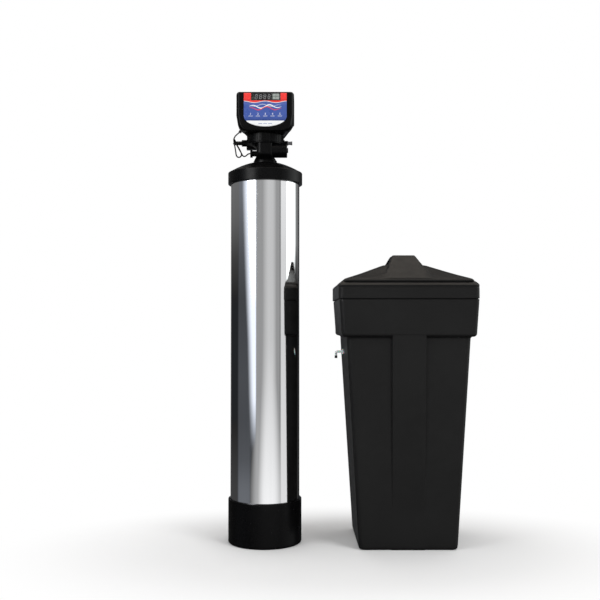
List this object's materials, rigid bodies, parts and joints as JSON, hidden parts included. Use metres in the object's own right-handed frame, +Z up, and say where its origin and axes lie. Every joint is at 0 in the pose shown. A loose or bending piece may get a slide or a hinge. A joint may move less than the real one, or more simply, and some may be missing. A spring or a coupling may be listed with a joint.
{
  "type": "water softener",
  "caption": "Domestic water softener: a steel-jacketed resin tank with a rotary disc control valve, and a separate lidded salt tank.",
  "frame": {"origin": "centre of the resin tank's foot, on the floor", "axes": "+Z up along the resin tank, the control head faces -Y, the salt tank stands towards +X"},
  "size_m": [0.9089, 0.454, 1.6666],
  "materials": {
    "black_plastic": "moulded satin",
    "steel": "polished",
    "fibre": "wound fibre",
    "white_plastic": "moulded",
    "salt_black": "rotational moulded grain",
    "grey_plastic": "moulded",
    "gravel": "washed gravel",
    "resin": "resin beads",
    "rubber": "moulded",
    "ceramic": "lapped",
    "acetal": "moulded",
    "magnet": "plated",
    "motor_steel": "zinc plated",
    "blue_plastic": "moulded",
    "red_plastic": "moulded",
    "screen_steel": "mesh",
    "label": "printed film",
    "window": "smoked",
    "digits": "unlit segments",
    "board": "lacquered",
    "key": "moulded",
    "cable": "sheath",
    "clear_plastic": "translucent",
    "float_red": "foam"
  },
  "bodies": {
    "stand": {"tank_boot": "black_plastic", "tank_jacket": "steel", "pressure_tank": "fibre", "tank_collar": "black_plastic", "riser_tube": "white_plastic", "lower_distributor": "black_plastic", "upper_basket": "black_plastic", "gravel_bed": "gravel", "resin_bed": "resin", "neck_o_ring": "rubber", "valve_body": "black_plastic", "fastening_ring": "black_plastic", "bonnet": "black_plastic", "disc_seal": "rubber", "fixed_disc": "ceramic", "friction_washer": "acetal", "gear_motor": "motor_steel", "meter_cage": "white_plastic", "meter_probe": "black_plastic", "injector_nozzle": "white_plastic", "injector_throat": "red_plastic", "injector_screen": "screen_steel", "barrel_cap": "black_plastic", "brine_fitting": "black_plastic", "brine_button": "blue_plastic", "drain_stub": "grey_plastic", "drain_button": "red_plastic", "head_base": "black_plastic", "head_cover": "black_plastic", "face_label": "label", "display_window": "window", "digit_module": "digits", "control_board": "board", "position_board": "board", "head_screws": "motor_steel", "cable_gland": "rubber", "sensor_cable": "cable", "cable_tie": "cable", "salt_tank": "salt_black", "salt_grid": "grey_plastic", "grid_legs": "grey_plastic", "brine_well": "white_plastic", "safety_valve": "white_plastic", "pickup_tube": "white_plastic", "overflow_elbow": "clear_plastic", "overflow_nut": "clear_plastic", "overflow_sleeve": "rubber"},
    "rotor": {"moving_disc": "ceramic", "rotor_shaft": "grey_plastic", "drive_gear": "acetal", "position_magnets": "magnet"},
    "pinion": {"drive_pinion": "acetal"},
    "turbine": {"meter_turbine": "blue_plastic"},
    "key_upper_left": {"key_1": "key"},
    "key_upper_right": {"key_2": "key"},
    "key_lower_left": {"key_3": "key"},
    "key_lower_right": {"key_4": "key"},
    "lid": {"salt_lid": "salt_black"},
    "well_cover": {"well_cap": "white_plastic"},
    "float": {"brine_float": "float_red"}
  },
  "joints": [
    {"name": "rotor_turn", "type": "hinge", "parent": "stand", "child": "rotor", "pos_m": [0, 0, 1.5], "axis": [0, 0, 1], "continuous": true},
    {"name": "pinion_turn", "type": "hinge", "parent": "stand", "child": "pinion", "pos_m": [0.05286, 0.01924, 1.545], "axis": [0, 0, 1], "continuous": true},
    {"name": "turbine_spin", "type": "hinge", "parent": "stand", "child": "turbine", "pos_m": [0, 0, 1.45], "axis": [0, 0, 1], "continuous": true},
    {"name": "key_1_press", "type": "slide", "parent": "stand", "child": "key_upper_left", "axis": [0, 1, 0], "range_m": [0, 0.001], "stiffness_N_per_m": 400, "springref_m": -0.001},
    {"name": "key_2_press", "type": "slide", "parent": "stand", "child": "key_upper_right", "axis": [0, 1, 0], "range_m": [0, 0.001], "stiffness_N_per_m": 400, "springref_m": -0.001},
    {"name": "key_3_press", "type": "slide", "parent": "stand", "child": "key_lower_left", "axis": [0, 1, 0], "range_m": [0, 0.001], "stiffness_N_per_m": 400, "springref_m": -0.001},
    {"name": "key_4_press", "type": "slide", "parent": "stand", "child": "key_lower_right", "axis": [0, 1, 0], "range_m": [0, 0.001], "stiffness_N_per_m": 400, "springref_m": -0.001},
    {"name": "lid_lift", "type": "slide", "parent": "stand", "child": "lid", "axis": [0, 0, 1], "range_m": [0, 0.3]},
    {"name": "well_cover_lift", "type": "slide", "parent": "stand", "child": "well_cover", "axis": [0, 0, 1], "range_m": [0, 0.05]},
    {"name": "float_rise", "type": "slide", "parent": "stand", "child": "float", "axis": [0, 0, 1], "range_m": [0, 0.02]}
  ],
  "couplings": [
    {"joint": "pinion_turn", "follows": "rotor_turn", "ratio": -3}
  ]
}
